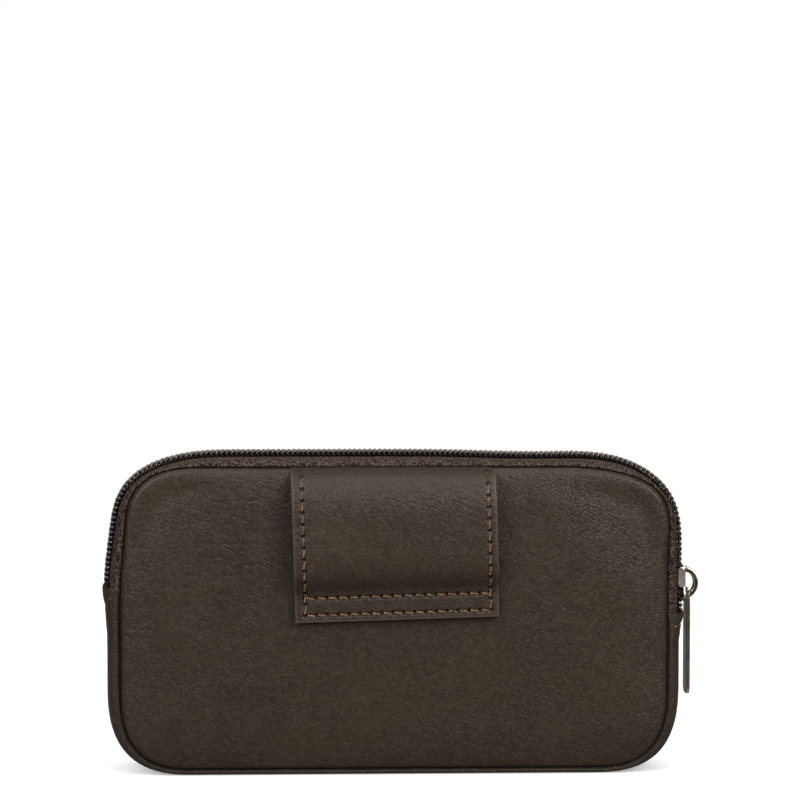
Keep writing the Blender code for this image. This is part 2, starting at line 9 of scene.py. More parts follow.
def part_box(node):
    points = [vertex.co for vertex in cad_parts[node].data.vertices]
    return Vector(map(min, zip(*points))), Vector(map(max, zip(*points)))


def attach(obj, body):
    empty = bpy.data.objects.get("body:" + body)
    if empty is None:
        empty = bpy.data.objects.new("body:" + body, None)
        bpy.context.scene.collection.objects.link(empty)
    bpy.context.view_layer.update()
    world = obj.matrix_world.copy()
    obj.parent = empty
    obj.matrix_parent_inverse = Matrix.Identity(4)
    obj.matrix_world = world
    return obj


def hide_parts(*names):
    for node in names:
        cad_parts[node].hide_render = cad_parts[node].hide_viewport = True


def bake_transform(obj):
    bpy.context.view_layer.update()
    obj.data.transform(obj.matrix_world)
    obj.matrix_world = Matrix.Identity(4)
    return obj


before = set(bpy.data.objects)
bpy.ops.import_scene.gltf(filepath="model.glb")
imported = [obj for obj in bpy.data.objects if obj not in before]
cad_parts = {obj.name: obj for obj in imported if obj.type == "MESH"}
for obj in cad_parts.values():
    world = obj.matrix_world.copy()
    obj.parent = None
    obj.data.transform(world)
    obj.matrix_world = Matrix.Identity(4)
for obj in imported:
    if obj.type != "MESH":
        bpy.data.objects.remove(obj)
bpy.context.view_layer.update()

scene = bpy.context.scene
mm = 0.001

panelLow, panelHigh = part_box("back_panel")
body = {
    "halfWidth": panelHigh.x, "bottom": panelLow.z, "top": panelHigh.z,
    "halfDepth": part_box("gusset")[1].y, "face": -panelLow.y,
    "upperCorner": (33 * mm, 24 * mm), "lowerCorner": (21 * mm, 24 * mm),
    "fullness": 2.7, "arcSteps": 300, "samples": 3000,
    # where the soft outline leaves its curve: x, z, reach, shift outwards, tapes' loss of crown
    "departures": (
        (76 * mm, 80 * mm, 10 * mm, 1.8 * mm, 1.8 * mm),
        (-70 * mm, 84 * mm, 13 * mm, 1.7 * mm, 1.7 * mm),
        (-82 * mm, 72 * mm, 11 * mm, -1.8 * mm, 0.0),
        (42 * mm, 89 * mm, 22 * mm, 0.0, 0.8 * mm),
    ),
}
body["middle"] = (body["bottom"] + body["top"]) / 2


def cornerArc(width, height):
    angle = np.linspace(0.0, pi / 2, body["arcSteps"])
    power = 2 / body["fullness"]
    return width * np.cos(angle).clip(0) ** power, height * np.sin(angle).clip(0) ** power


def outwards(x, z):
    # the directions out of the outline
    tangentX, tangentZ = np.roll(x, -1) - np.roll(x, 1), np.roll(z, -1) - np.roll(z, 1)
    size = np.hypot(tangentX, tangentZ)
    return tangentZ / size, -tangentX / size


def measureSeam():
    # from the middle of the base, up the right side, over the top and down the left side
    half, low, high = body["halfWidth"], body["bottom"], body["top"]
    lowWidth, lowHeight = body["lowerCorner"]
    highWidth, highHeight = body["upperCorner"]
    across, along = cornerArc(lowWidth, lowHeight)
    x = [0.0, *(half - lowWidth + across)[::-1]]
    z = [low, *(low + lowHeight - along)[::-1]]
    across, along = cornerArc(highWidth, highHeight)
    x += [*(half - highWidth + across), 0.0]
    z += [*(high - highHeight + along), high]
    x = np.array(x + [-value for value in x[-2::-1]])
    z = np.array(z + z[-2::-1])
    run = np.concatenate(([0.0], np.cumsum(np.hypot(np.diff(x), np.diff(z)))))
    even = np.linspace(0.0, run[-1], body["samples"], endpoint=False)
    x, z = np.interp(even, run, x), np.interp(even, run, z)
    outX, outZ = outwards(x, z)
    shift, loss = np.zeros(len(x)), np.zeros(len(x))
    for placeX, placeZ, reach, out, crownLoss in body["departures"]:
        near = np.exp(-((x - placeX) ** 2 + (z - placeZ) ** 2) / reach ** 2)
        shift, loss = shift + out * near, loss + crownLoss * near
    x, z = x + outX * shift, z + outZ * shift
    spots = np.stack((x, z, *outwards(x, z), loss), 1).tolist()
    return {"length": float(run[-1]), "run": even, "x": x, "z": z, "spots": spots + spots[:1]}


seam = measureSeam()


def seamRun(height):
    # length along the seam, from the base's middle to a height on the right
    half = len(seam["run"]) // 2
    return float(np.interp(height, seam["z"][:half], seam["run"][:half]))


def seamSpot(run):
    # place, outward direction and loss of crown on the seam at a length along it
    count = body["samples"]
    step = (run / seam["length"] % 1.0) * count
    index, share = int(step) % count, step % 1.0
    return [a + (b - a) * share for a, b in zip(seam["spots"][index], seam["spots"][index + 1])]


def seamPoint(run, reach, height):
    # a point beside the seam: reach runs along Y, height stands out from the outline
    x, z, outX, outZ, _ = seamSpot(run)
    return Vector((x + height * outX, reach, z + height * outZ))


def smoothStep(value, start=0.0, end=1.0):
    share = min(max((value - start) / (end - start), 0.0), 1.0)
    return share * share * (3 - 2 * share)


def fallOff(distance, reach, power=2):
    # 1 at a mark, fading past its reach
    return exp(-(distance / reach) ** power)


def ripple(x, y, z, size, seed=0.0):
    return noise.noise(Vector((x / size + seed, y / size, z / size - seed)))


making = {
    "segments": 2, "angle": radians(50), "weld": 1e-7,
    "sharp": 40, "wireSharp": 60, "castSharp": 180,   # degrees
}


def addObject(name, data):
    made = bpy.data.objects.new(name, data)
    scene.collection.objects.link(made)
    return made


def meshFrom(name, bm):
    mesh = bpy.data.meshes.new(name)
    bm.to_mesh(mesh)
    bm.free()
    return mesh


def addModifier(piece, kind, **settings):
    step = piece.modifiers.new(kind, kind)
    for key, value in settings.items():
        setattr(step, key, value)


def shapedMesh(piece):
    # a piece's mesh with its modifiers or wire worked out
    bpy.context.view_layer.update()
    return bpy.data.meshes.new_from_object(piece.evaluated_get(bpy.context.evaluated_depsgraph_get()))


def weldedFrom(mesh, distance):
    # a mesh for editing, its doubled points joined and its faces turned outwards
    bm = bmesh.new()
    bm.from_mesh(mesh)
    bmesh.ops.remove_doubles(bm, verts=bm.verts, dist=distance)
    bmesh.ops.recalc_face_normals(bm, faces=bm.faces)
    return bm


def finishPiece(name, bm, finish, rides, stands=(), wall=0.0, bevel=0.0, sharp=making["sharp"]):
    # a mesh with its wall and bevel applied, set on its body when it rides one; given two bodies and a bend it stays
    # where it is; the parts it stands for are hidden
    piece = addObject(name, meshFrom(name, bm))
    if wall:
        addModifier(piece, "SOLIDIFY", thickness=wall, offset=-1.0, use_even_offset=True)
    if bevel:
        addModifier(piece, "BEVEL", width=bevel, segments=making["segments"],
                    limit_method="ANGLE", angle_limit=making["angle"])
    if piece.modifiers:
        shaped = shapedMesh(piece)
        piece.modifiers.clear()
        piece.data = shaped
        shaped.name = name
    piece.data.shade_smooth()
    piece.data.set_sharp_from_angle(angle=radians(sharp))
    piece.data.materials.clear()
    piece.data.materials.append(finish)
    if isinstance(rides, str):
        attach(piece, rides)
    else:
        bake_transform(piece)
    if stands:
        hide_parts(*stands)


def faceTowards(bm, outward):
    # an open sheet's faces turned to the side of outward(point)
    bmesh.ops.recalc_face_normals(bm, faces=bm.faces)
    bm.normal_update()
    votes = sum(1 if face.normal.dot(outward(face.calc_center_median())) > 0 else -1 for face in bm.faces)
    if votes < 0:
        bmesh.ops.reverse_faces(bm, faces=bm.faces[:])


def sheetGrid(columns, rows):
    # a flat grid that runs from -1 to 1 both ways
    bm = bmesh.new()
    bmesh.ops.create_grid(bm, x_segments=columns, y_segments=rows, size=1.0)
    return bm


def bendStrip(start, end, piece, section):
    # a flat grid with its weave coordinates in metres, then bent round the seam
    bm = sheetGrid(*piece["grid"])
    weaveLayer = bm.loops.layers.uv.new("strip")
    shade, ridge = bm.verts.layers.float.new("paintedShade"), bm.verts.layers.float.new("ridge")
    for face in bm.faces:
        for corner in face.loops:
            spot = corner.vert.co
            corner[weaveLayer].uv = (start + (end - start) * (spot.x + 1) / 2, piece["width"] * spot.y / 2)
    for vert in bm.verts:
        run = start + (end - start) * (vert.co.x + 1) / 2
        reach, height, *marks = section(run, vert.co.y)
        vert.co = seamPoint(run, reach, height)
        vert[shade], vert[ridge] = (*marks, 0.0)[:2]
    faceTowards(bm, lambda point: Vector((point.x, 0, point.z - body["middle"])))
    return bm


def tubeAlong(name, lines, radius, finish, rides, stands=(), rings=1):
    # a round wire through each list of points, made a mesh
    curve = bpy.data.curves.new(name, "CURVE")
    curve.dimensions = "3D"
    curve.bevel_depth, curve.bevel_resolution, curve.use_fill_caps = radius, rings, True
    for line in lines:
        spline = curve.splines.new("POLY")
        spline.points.add(len(line) - 1)
        for target, place in zip(spline.points, line):
            target.co = (*place, 1.0)
    drawn = addObject(name + "Line", curve)
    mesh = shapedMesh(drawn)
    bm = weldedFrom(mesh, making["weld"])
    bpy.data.objects.remove(drawn)
    bpy.data.meshes.remove(mesh)
    finishPiece(name, bm, finish, rides, stands, sharp=making["wireSharp"])


class Value:
    # a socket, so that sums written in Python add their Math nodes
    def __init__(self, finish, socket):
        self.finish, self.socket = finish, socket

    def sum(self, operation, first, second=None):
        return self.finish.add("ShaderNodeMath", {"operation": operation}, {0: first, 1: second})

    def __add__(self, other): return self.sum("ADD", self, other)
    def __radd__(self, other): return self.sum("ADD", other, self)
    def __sub__(self, other): return self.sum("SUBTRACT", self, other)
    def __rsub__(self, other): return self.sum("SUBTRACT", other, self)
    def __mul__(self, other): return self.sum("MULTIPLY", self, other)
    def __rmul__(self, other): return self.sum("MULTIPLY", other, self)
    def __truediv__(self, other): return self.sum("DIVIDE", self, other)
    def __rtruediv__(self, other): return self.sum("DIVIDE", other, self)
    def __mod__(self, other): return self.sum("FLOORED_MODULO", self, other)
    def __abs__(self): return self.sum("ABSOLUTE", self)

    def sine(self): return self.sum("SINE", self)
    def most(self, other): return self.sum("MAXIMUM", self, other)


class Finish:
    # one Principled material and the nodes that feed it
    def __init__(self, name, colour, roughness, **fixed):
        self.material = bpy.data.materials.new(name)
        self.material.use_nodes = True
        self.tree = self.material.node_tree
        self.shader = self.tree.nodes["Principled BSDF"]
        self.shader.inputs["Base Color"].default_value = (*colour, 1)
        self.shader.inputs["Roughness"].default_value = roughness
        for socket, value in fixed.items():
            self.shader.inputs[socket.replace("_", " ")].default_value = value
        self.material.diffuse_color = (*colour, 1)

    def add(self, kind, settings, sockets, out=0):
        node = self.tree.nodes.new(kind)
        for key, value in settings.items():
            setattr(node, key, value)
        for key, value in sockets.items():
            if isinstance(value, Value):
                self.tree.links.new(value.socket, node.inputs[key])
            elif value is not None:
                node.inputs[key].default_value = value
        return Value(self, node.outputs[out])

    def place(self):
        return self.add("ShaderNodeTexCoord", {}, {}, "Object")

    def axes(self, vector):
        first = self.add("ShaderNodeSeparateXYZ", {}, {0: vector})
        return [Value(self, output) for output in first.socket.node.outputs]

    def drawnOut(self, vector, lengths, turn=(0, 0, 0)):
        # a pattern drawn out by its lengths along axes that are turned first
        sockets = {"Vector": vector, "Scale": lengths, "Rotation": turn}
        return self.add("ShaderNodeMapping", {"vector_type": "TEXTURE"}, sockets)

    def clouds(self, vector, scale, detail=3.0, rough=0.5, out=0):
        sockets = {"Vector": vector, "Scale": scale, "Detail": detail, "Roughness": rough}
        return self.add("ShaderNodeTexNoise", {}, sockets, out)

    def cells(self, vector, size, feature):
        return self.add("ShaderNodeTexVoronoi", {"feature": feature}, {"Vector": vector, "Scale": 1 / size}, "Distance")

    def between(self, value, low, high, start=0.0, end=1.0):
        return self.add("ShaderNodeMapRange", {}, {"Value": value, 1: low, 2: high, 3: start, 4: end})

    def blendColour(self, factor, first, second):
        sockets = {0: factor, 6: first if isinstance(first, Value) else (*first, 1),
                   7: second if isinstance(second, Value) else (*second, 1)}
        return self.add("ShaderNodeMix", {"data_type": "RGBA"}, sockets, 2)

    def attribute(self, name):
        return self.add("ShaderNodeAttribute", {"attribute_name": name}, {}, "Fac")

    def feed(self, socket, value):
        self.tree.links.new(value.socket, self.shader.inputs[socket])

    def feedColour(self, colour):
        # the base colour, with painted shade, near black, in the seam grooves, the needle holes and under the seams
        self.feed("Base Color", self.blendColour(self.attribute("paintedShade"), colour, leather["paintedShadeColour"]))

    def bump(self, *layers):
        # layers of (height, strength, distance in metres), finest last
        normal = None
        for height, strength, distance in layers:
            sockets = {"Height": height, "Strength": strength, "Distance": distance, "Normal": normal}
            normal = self.add("ShaderNodeBump", {}, sockets)
        self.feed("Normal", normal)


leather = {
    # paintedShadeColour: the colour of the painted shade in seams and needle holes
    "gloss": 0.25, "pebble": 0.9 * mm, "crease": 2.4 * mm, "paintedShadeColour": (0.003, 0.0022, 0.0017),
    "patchDepth": 0.2 * mm, "creaseDepth": 0.1 * mm, "grainDepth": 0.085 * mm,
    # scale and detail of each noise
    "drift": (160.0, 2.0), "tone": (26.0, 4.0, 0.6), "patch": (150.0, 3.0, 0.6), "fine": (1100.0, 2.0, 0.5),
    "strong": (48.0, 2.0), "creased": (40.0, 2.0),
    "wander": 2.0 * mm, "drawnOut": 1.35, "falling": 3.2, "rising": 3.6, "risingTurn": -1.5,
    "rightSide": (30 * mm, 62 * mm),   # where the creases change their lay
    # how far the grain's cracks and the creases are darkened: the grain's own tone with painted shade in its cracks,
    # and painted shade in the creases
    "grooveWidth": 0.2, "creaseWidth": 0.13, "crackTintAndShade": 0.55, "creaseShade": 0.42, "lineDark": 0.42,
    "toneShares": (0.2, 0.14, 0.66), "toneRange": (0.34, 0.66),
    "roughSpread": (-0.1, 0.08),
}


def makeLeather(name, dark, light, roughness, worn=None, lay=0.42):
    finish = Finish(name, dark, roughness, Specular_IOR_Level=leather["gloss"])
    place = finish.place()
    drift = finish.clouds(place, *leather["drift"], out=1)
    sockets = {0: drift, 1: (leather["wander"],) * 3, 2: place}
    wandered = finish.add("ShaderNodeVectorMath", {"operation": "MULTIPLY_ADD"}, sockets)

    def laid(length, turn):
        return finish.drawnOut(wandered, (length, 1.0, 1.0), (0, turn, 0))

    grainPlace = laid(leather["drawnOut"], lay)
    tone, patch = finish.clouds(place, *leather["tone"]), finish.clouds(place, *leather["patch"])
    fine = finish.clouds(grainPlace, *leather["fine"])
    pebble = finish.cells(grainPlace, leather["pebble"], "SMOOTH_F1")
    crack = finish.cells(grainPlace, leather["pebble"], "DISTANCE_TO_EDGE")
    groove = 1 - finish.between(crack, 0.0, leather["grooveWidth"])
    strong = finish.between(finish.clouds(place, *leather["strong"]), 0.36, 0.62, 0.35, 1.0)

    # creases fall to the right, and rise on the right side
    falling = finish.cells(laid(leather["falling"], lay), leather["crease"], "DISTANCE_TO_EDGE")
    rising = finish.cells(laid(leather["rising"], leather["risingTurn"] * lay), leather["crease"], "DISTANCE_TO_EDGE")
    right = finish.between(finish.axes(place)[0], *leather["rightSide"])
    crease = 1 - finish.between(rising * right + falling * (1 - right), 0.0, leather["creaseWidth"])
    crease = crease * finish.between(finish.clouds(place, *leather["creased"]), 0.4, 0.62)

    toneShare, patchShare, fineShare = leather["toneShares"]
    shade = finish.between(tone * toneShare + patch * patchShare + fine * fineShare, *leather["toneRange"])
    # darker grain cracks and crease lines in the colour: painted shade in these recesses, in the cracks together with
    # the grain's own tone
    lines = (groove * strong * leather["crackTintAndShade"]).most(crease * leather["creaseShade"])
    lineColour = tuple(leather["lineDark"] * value for value in dark)
    colour = finish.blendColour(lines, finish.blendColour(shade, dark, light), lineColour)
    if worn:
        colour = finish.blendColour(finish.attribute("wear"), colour, worn)
    finish.feedColour(colour)
    rough = (roughness + change for change in leather["roughSpread"])
    finish.feed("Roughness", finish.between(fine * 0.6 + patch * 0.4, 0.3, 0.7, *rough))
    grain = fine * 0.35 - pebble * 0.8 - groove * 0.5
    finish.bump((patch, 0.5, leather["patchDepth"]), (crease * -1, 0.7, leather["creaseDepth"]),
                (grain, 0.9, leather["grainDepth"]))
    return finish.material


weave = {
    "column": 1.5 * mm, "pitch": 0.92 * mm, "slant": 0.75, "dots": 0.85 * mm, "dotDrift": 900.0,
    "lint": (1350.0, 1.5, 0.4), "shares": (0.38, 0.22, 3.6), "range": (-0.55, 0.85), "depth": 0.18 * mm,
    "cloth": ((0.0026, 0.0017, 0.0012), (0.104, 0.071, 0.051)),
    "ridge": ((0.024, 0.018, 0.014), (0.15, 0.115, 0.09)),
}


def makeZipCloth():
    # herringbone: columns whose threads slant to and fro
    finish = Finish("zipTapeWeave", (0.03, 0.022, 0.017), 0.88, Specular_IOR_Level=0.15)
    along, across, _ = finish.axes(finish.add("ShaderNodeUVMap", {"uv_map": "strip"}, {}))
    column = abs((across / weave["column"]) % 1.0 - 0.5) * 2
    thread = ((along / weave["pitch"] + column * weave["slant"]) * (2 * pi)).sine()
    weft = (across * (2 * pi / weave["dots"]) + along * weave["dotDrift"]).sine()
    lint = finish.clouds(finish.place(), *weave["lint"])
    threadShare, weftShare, lintShare = weave["shares"]
    height = thread * threadShare + weft * weftShare + (lint - 0.5) * lintShare
    shade = finish.between(height, *weave["range"])
    colour, ridge = finish.blendColour(shade, *weave["cloth"]), finish.blendColour(shade, *weave["ridge"])
    finish.feedColour(finish.blendColour(finish.attribute("ridge"), colour, ridge))
    finish.bump((height, 0.8, weave["depth"]))
    return finish.material


def makePlain(name, dark, light, roughness, scale, depth, **fixed):
    finish = Finish(name, dark, roughness, **fixed)
    tone = finish.clouds(finish.place(), scale)
    finish.feed("Base Color", finish.blendColour(finish.between(tone, 0.3, 0.7), dark, light))
    finish.feed("Roughness", finish.between(tone, 0.3, 0.7, roughness - 0.06, roughness + 0.06))
    finish.bump((tone, 0.4, depth))
    return finish.material


lining = {
    "thread": 0.7 * mm, "depth": 0.12 * mm, "tone": 60.0,
    "dark": (0.03, 0.025, 0.021), "light": (0.075, 0.064, 0.054),
    "cloth": 0.4 * mm, "sink": 1.6 * mm, "grid": (80, 46),
}


def makeLiningCloth():
    finish = Finish("liningWeave", (0.05, 0.042, 0.036), 0.9, Sheen_Weight=0.2)
    place = finish.place()
    x, y, z = finish.axes(place)
    wave = 2 * pi / lining["thread"]
    height = ((x + y) * wave).sine() * ((z + y) * wave).sine()
    shade = finish.between(height * 0.3 + finish.clouds(place, lining["tone"]), 0.2, 0.9)
    finish.feed("Base Color", finish.blendColour(shade, lining["dark"], lining["light"]))
    finish.bump((height, 0.5, lining["depth"]))
    return finish.material


metal = {
    "tone": (420.0, 4.0), "brush": (5200.0, 2.0), "brushing": 16.0, "brushDepth": 0.04 * mm,
    "worn": (0.503, 0.535),   # pointiness of a worn edge
    "innerFace": (-0.97, -0.9), "roughness": (0.2, 0.38),
}


def makeMetal(name, dark, light, edge, paintedReflection=None):
    finish = Finish(name, dark, 0.3, Metallic=1.0)
    place = finish.place()
    tone = finish.clouds(place, *metal["tone"])
    brush = finish.clouds(finish.drawnOut(place, (1.0, 1.0, metal["brushing"])), *metal["brush"])
    worn = finish.between(finish.add("ShaderNodeNewGeometry", {}, {}, "Pointiness"), *metal["worn"])
    shade = finish.between(tone, 0.3, 0.7)
    colour = finish.blendColour(worn, finish.blendColour(shade, dark, light), edge)
    if paintedReflection:
        # the pull's inner face, pale and nearly not metallic: a painted reflection of white surroundings
        facing = finish.axes(finish.add("ShaderNodeTexCoord", {}, {}, "Normal"))[0]
        inner = finish.between(facing, *metal["innerFace"], 1.0, 0.0)
        colour = finish.blendColour(inner, colour, paintedReflection)
        finish.feed("Metallic", 1 - inner * 0.9)
    finish.feed("Base Color", colour)
    finish.feed("Roughness", finish.between(tone + brush * 0.4, 0.4, 1.0, *metal["roughness"]))
    finish.bump((brush, 0.12, metal["brushDepth"]))
    return finish.material


panelLeather = makeLeather("brownPanelLeather", (0.023, 0.0152, 0.0094), (0.0415, 0.0288, 0.0188), 0.38)
sideLeather = makeLeather("brownSideLeather", (0.0215, 0.0144, 0.0089), (0.037, 0.0256, 0.0166), 0.42, lay=0.2)
loopLeather = makeLeather("brownLoopLeather", (0.0245, 0.0163, 0.0102), (0.0435, 0.0302, 0.0196), 0.41,
                          worn=(0.072, 0.053, 0.038))
tapeWeave = makeZipCloth()
liningWeave = makeLiningCloth()
coilNylon = makePlain("coilNylon", (0.0068, 0.0049, 0.0036), (0.017, 0.0125, 0.0095), 0.45, 300.0, 0.02 * mm,
                      Specular_IOR_Level=0.26)
coilThread = makePlain("coilSewingThread", (0.08, 0.061, 0.046), (0.21, 0.168, 0.135), 0.75, 1500.0, 0.08 * mm,
                       Sheen_Weight=0.3)
amberThread = makePlain("amberThread", (0.03, 0.014, 0.0045), (0.275, 0.145, 0.05), 0.62, 900.0, 0.1 * mm)
agedNickel = makeMetal("agedNickel", (0.52, 0.47, 0.4), (0.8, 0.745, 0.66), (0.9, 0.86, 0.79))
darkNickel = makeMetal("darkNickel", (0.075, 0.054, 0.032), (0.21, 0.155, 0.1), (0.84, 0.74, 0.6))
# pullNickel: its inner face carries a painted reflection
pullNickel = makeMetal("pullNickel", (0.085, 0.06, 0.034), (0.23, 0.17, 0.108), (0.84, 0.74, 0.6),
                       paintedReflection=(0.56, 0.56, 0.58))
print("finishes made")


panel = {
    "grid": (190, 108), "sink": 0.0, "rings": 1.45,   # closer rings near the seam
    "leather": 1.2 * mm, "rim": 0.1 * mm, "edgeInset": 0.18 * mm, "eighth": 8.4 * mm,
    "turnWidth": 1.3 * mm, "turnRise": 0.9 * mm, "tuck": 0.8 * mm,   # the edge rolled into the seam
    # grooveDark: reach of the painted shade in the seam groove
    "grooveDark": (0.24 * mm, 0.12 * mm),   # beside the gusset, beside the tapes
    "grooveSize": 2.2 * mm, "grooveWave": 0.9,
    "rightTab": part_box("right_zip_end_tab")[1].z, "leftTab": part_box("left_zip_end_tab")[1].z,
    # the puffed face falls away towards the upper corners
    "cornerDrop": 1.5 * mm, "cornerReach": (12 * mm, 38 * mm), "cornerRim": 8 * mm,
    "shoulderWidth": 13.0 * mm, "shoulderRise": 2.35 * mm, "shoulderEase": 1.25, "crownReach": 34 * mm,
    # slow hollows of the soft leather and smaller dents
    "sag": 0.22 * mm, "sagSize": 34 * mm, "sagLevel": 0.25, "sagReach": (2 * mm, 16 * mm),
    "dent": 0.35, "dentSize": 11 * mm, "seeds": (3.0, 17.0),
    "narrowing": 35 * mm,
}


def outlineFor(across, up):
    # a point of a square grid carried to the outline, each eighth to its share of the seam
    size = max(abs(across), abs(up))
    if not size:
        return Vector((0.0, 0.0)), 0.0
    length = seam["length"]
    low, high = seamRun(body["bottom"] + panel["eighth"]), seamRun(body["top"] - panel["eighth"])
    middle = seamRun(body["middle"])
    if abs(up) >= abs(across):
        share = abs(across) / size
        run = share * low if up < 0 else length / 2 - share * (length / 2 - high)
    else:
        share = abs(up) / size
        run = middle - share * (middle - low) if up < 0 else middle + share * (high - middle)
    if across < 0:
        run = length - run
    edge = seamPoint(run, 0.0, -panel["edgeInset"])
    return Vector((edge.x, edge.z)), size


def seamDistance(x, z):
    return float(np.sqrt(((seam["x"] - x) ** 2 + (seam["z"] - z) ** 2).min()))


def rounded(distance, width):
    # a quarter ellipse from the seam to its width
    return sqrt(max(0.0, 1 - (1 - min(distance / width, 1.0)) ** 2))


def panelRise(distance, tuck):
    turn = (panel["turnRise"] + tuck) * rounded(distance, panel["turnWidth"]) - tuck
    shoulder = panel["shoulderRise"] * rounded(distance, panel["shoulderWidth"]) ** panel["shoulderEase"]
    crown = body["face"] - body["halfDepth"] - panel["rim"] - panel["turnRise"] - panel["shoulderRise"]
    return turn + shoulder + crown * smoothStep(distance, 0.0, panel["crownReach"])


def grooveShade(x, z, distance, seed):
    # painted shade in the panel's seam groove, wider beside the gusset than beside the tapes, wavering along the seam
    tab = panel["rightTab"] if x > 0 else panel["leftTab"]
    dark = panel["grooveDark"][0 if z < tab else 1]
    dark *= 1 + panel["grooveWave"] * ripple(x, 0, z, panel["grooveSize"], seed)
    return fallOff(distance, dark)


def panelSheet(facing, layer):
    bm = sheetGrid(*layer["grid"])
    sink, seed = layer["sink"], panel["seeds"][facing > 0]
    shade = bm.verts.layers.float.new("paintedShade")
    middle = Vector((0.0, body["middle"]))
    for vert in bm.verts:
        edge, size = outlineFor(vert.co.x, vert.co.y)
        spot = middle + (edge - middle) * (1 - (1 - min(size, 1.0)) ** panel["rings"])
        distance = max(seamDistance(spot.x, spot.y) - panel["edgeInset"], 0.0)
        # the seam groove's painted shade
        vert[shade] = grooveShade(spot.x, spot.y, distance, seed)
        rise = panelRise(distance, 0.0 if sink else panel["tuck"])
        corner = hypot(abs(spot.x) - body["halfWidth"], spot.y - body["top"])
        drop = panel["cornerDrop"] * (1 - smoothStep(corner, *panel["cornerReach"]))
        rise -= drop * smoothStep(distance, 0.0, panel["cornerRim"])
        sag = panel["sag"] * smoothStep(distance, *panel["sagReach"])
        rise += sag * (ripple(spot.x, 0, spot.y, panel["sagSize"], seed) - panel["sagLevel"])
        rise += sag * panel["dent"] * ripple(spot.x, 0, spot.y, panel["dentSize"], seed + 5)
        depth = body["halfDepth"] + panel["rim"] + rise - sink
        if sink:
            spot = middle + (spot - middle) * (1 - sink / panel["narrowing"])
        vert.co = Vector((spot.x, facing * depth, spot.y))
    faceTowards(bm, lambda point: Vector((0, facing, 0)))
    return bm


# the mouth's two bodies, and where the bend between them starts and ends
foldRide = ("pouch", "mouth_flap", (0.0, 15.6 * mm, 67.0 * mm), (0.0, 15.6 * mm, 74.0 * mm))
finishPiece("backSkin", panelSheet(-1.0, panel), panelLeather,
            "pouch", ("back_panel",), wall=panel["leather"])
finishPiece("frontSkin", panelSheet(1.0, panel), panelLeather,
            foldRide, ("front_panel", "front_lip"), wall=panel["leather"])
finishPiece("backLiningCloth", panelSheet(-1.0, lining), liningWeave,
            "pouch", ("back_lining",), wall=lining["cloth"])
finishPiece("frontLiningCloth", panelSheet(1.0, lining), liningWeave,
            foldRide, ("front_lining", "front_lip_lining"), wall=lining["cloth"])
print("panels made")


side = {
    "baseCrown": body["bottom"], "sideCrown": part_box("gusset")[1].x - body["halfWidth"],
    "leather": 1.2 * mm, "tuck": 1.3 * mm, "tuckSink": 0.3,
    # grooveDark: how far up from the seam the gusset's painted shade reaches
    "roll": 0.6 * mm, "rollHeight": 0.42 * mm, "grooveDark": 0.22 * mm,
    "rightTop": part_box("right_zip_end_tab")[1].z, "leftTop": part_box("left_zip_end_tab")[1].z - 0.9 * mm,
    "rightLow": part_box("right_zip_end_tab")[0].z, "leftLow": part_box("left_zip_end_tab")[0].z,
    "archShare": 0.92, "tuckShare": 0.08,   # of the way across
    "fullness": 3.4, "baseFullness": 4.5, "wave": 0.1 * mm, "waveSize": 18 * mm,
    "width": 26 * mm, "grid": (300, 30), "tabOverlap": 0.2 * mm,
}
innerSide = {"width": 22 * mm, "grid": (120, 16), "end": 1.5 * mm}


def archSection(across, crown, fullness, sink=0.0):
    # across runs -1 to 1; past the arch's share the edge is rolled in at the seam
    depth = body["halfDepth"]
    roll = 0.0 if sink else side["roll"]
    # the third value is painted shade: full in the tucked edge, fading with height above the seam
    if abs(across) > side["archShare"]:
        tuck = (abs(across) - side["archShare"]) / side["tuckShare"]
        height = -side["tuck"] * tuck - sink * side["tuckSink"]
        return copysign(depth - sink - roll, across), height, 1.0
    turn = sin(abs(across) / side["archShare"] * pi / 2) * pi / 2
    height = crown * max(cos(turn), 0.0) ** (2 / fullness)
    reach = depth * sin(turn) ** (2 / fullness) - roll * fallOff(height, side["rollHeight"])
    return copysign(max(reach - sink, 0.0), across), height - sink, fallOff(height, side["grooveDark"])


def gussetSection(run, across, sink=0.0):
    down = seamSpot(run)[3] ** 2
    crown = side["baseCrown"] * down + side["sideCrown"] * (1 - down)
    crown += side["wave"] * (1 - down) * ripple(run, across * 0.01, 0, side["waveSize"], 4.0)
    return archSection(across, crown, side["fullness"] + side["baseFullness"] * down, sink)


def liningSection(run, across):
    return gussetSection(run, across, lining["sink"])


tab = {
    "flare": 1.2 * mm, "lip": 0.15 * mm, "lipShares": (0.82, 0.97), "fullness": 3.2,
    "wave": 0.12 * mm, "waveTurn": 9.0, "waveSkew": 1.2, "waveShares": (0.1, 0.5),
    "crease": 0.22 * mm, "creaseShare": 0.66, "creaseWidth": 0.07,
    "leather": 1.5 * mm, "bevel": 0.45 * mm, "width": 26 * mm, "grid": (46, 40),
}


def makeTab(name, stands, low, high, leftSide):
    # folded leather, flared outwards and creased across below the stitch row
    start, end = seamRun(low), seamRun(high)

    def section(run, across):
        share = (seamSpot(run)[1] - low) / (high - low)
        crown = side["sideCrown"] + tab["flare"] * smoothStep(share) + tab["lip"] * smoothStep(share, *tab["lipShares"])
        wave = sin(share * tab["waveTurn"] + across * tab["waveSkew"])
        crown += tab["wave"] * wave * smoothStep(share, *tab["waveShares"])
        crown -= tab["crease"] * fallOff(share - tab["creaseShare"], tab["creaseWidth"])
        return archSection(across, crown, tab["fullness"])

    if leftSide:
        start, end = seam["length"] - end, seam["length"] - start
    finishPiece(name, bendStrip(start, end, tab, section), sideLeather,
                "pouch", stands, wall=tab["leather"], bevel=tab["bevel"])


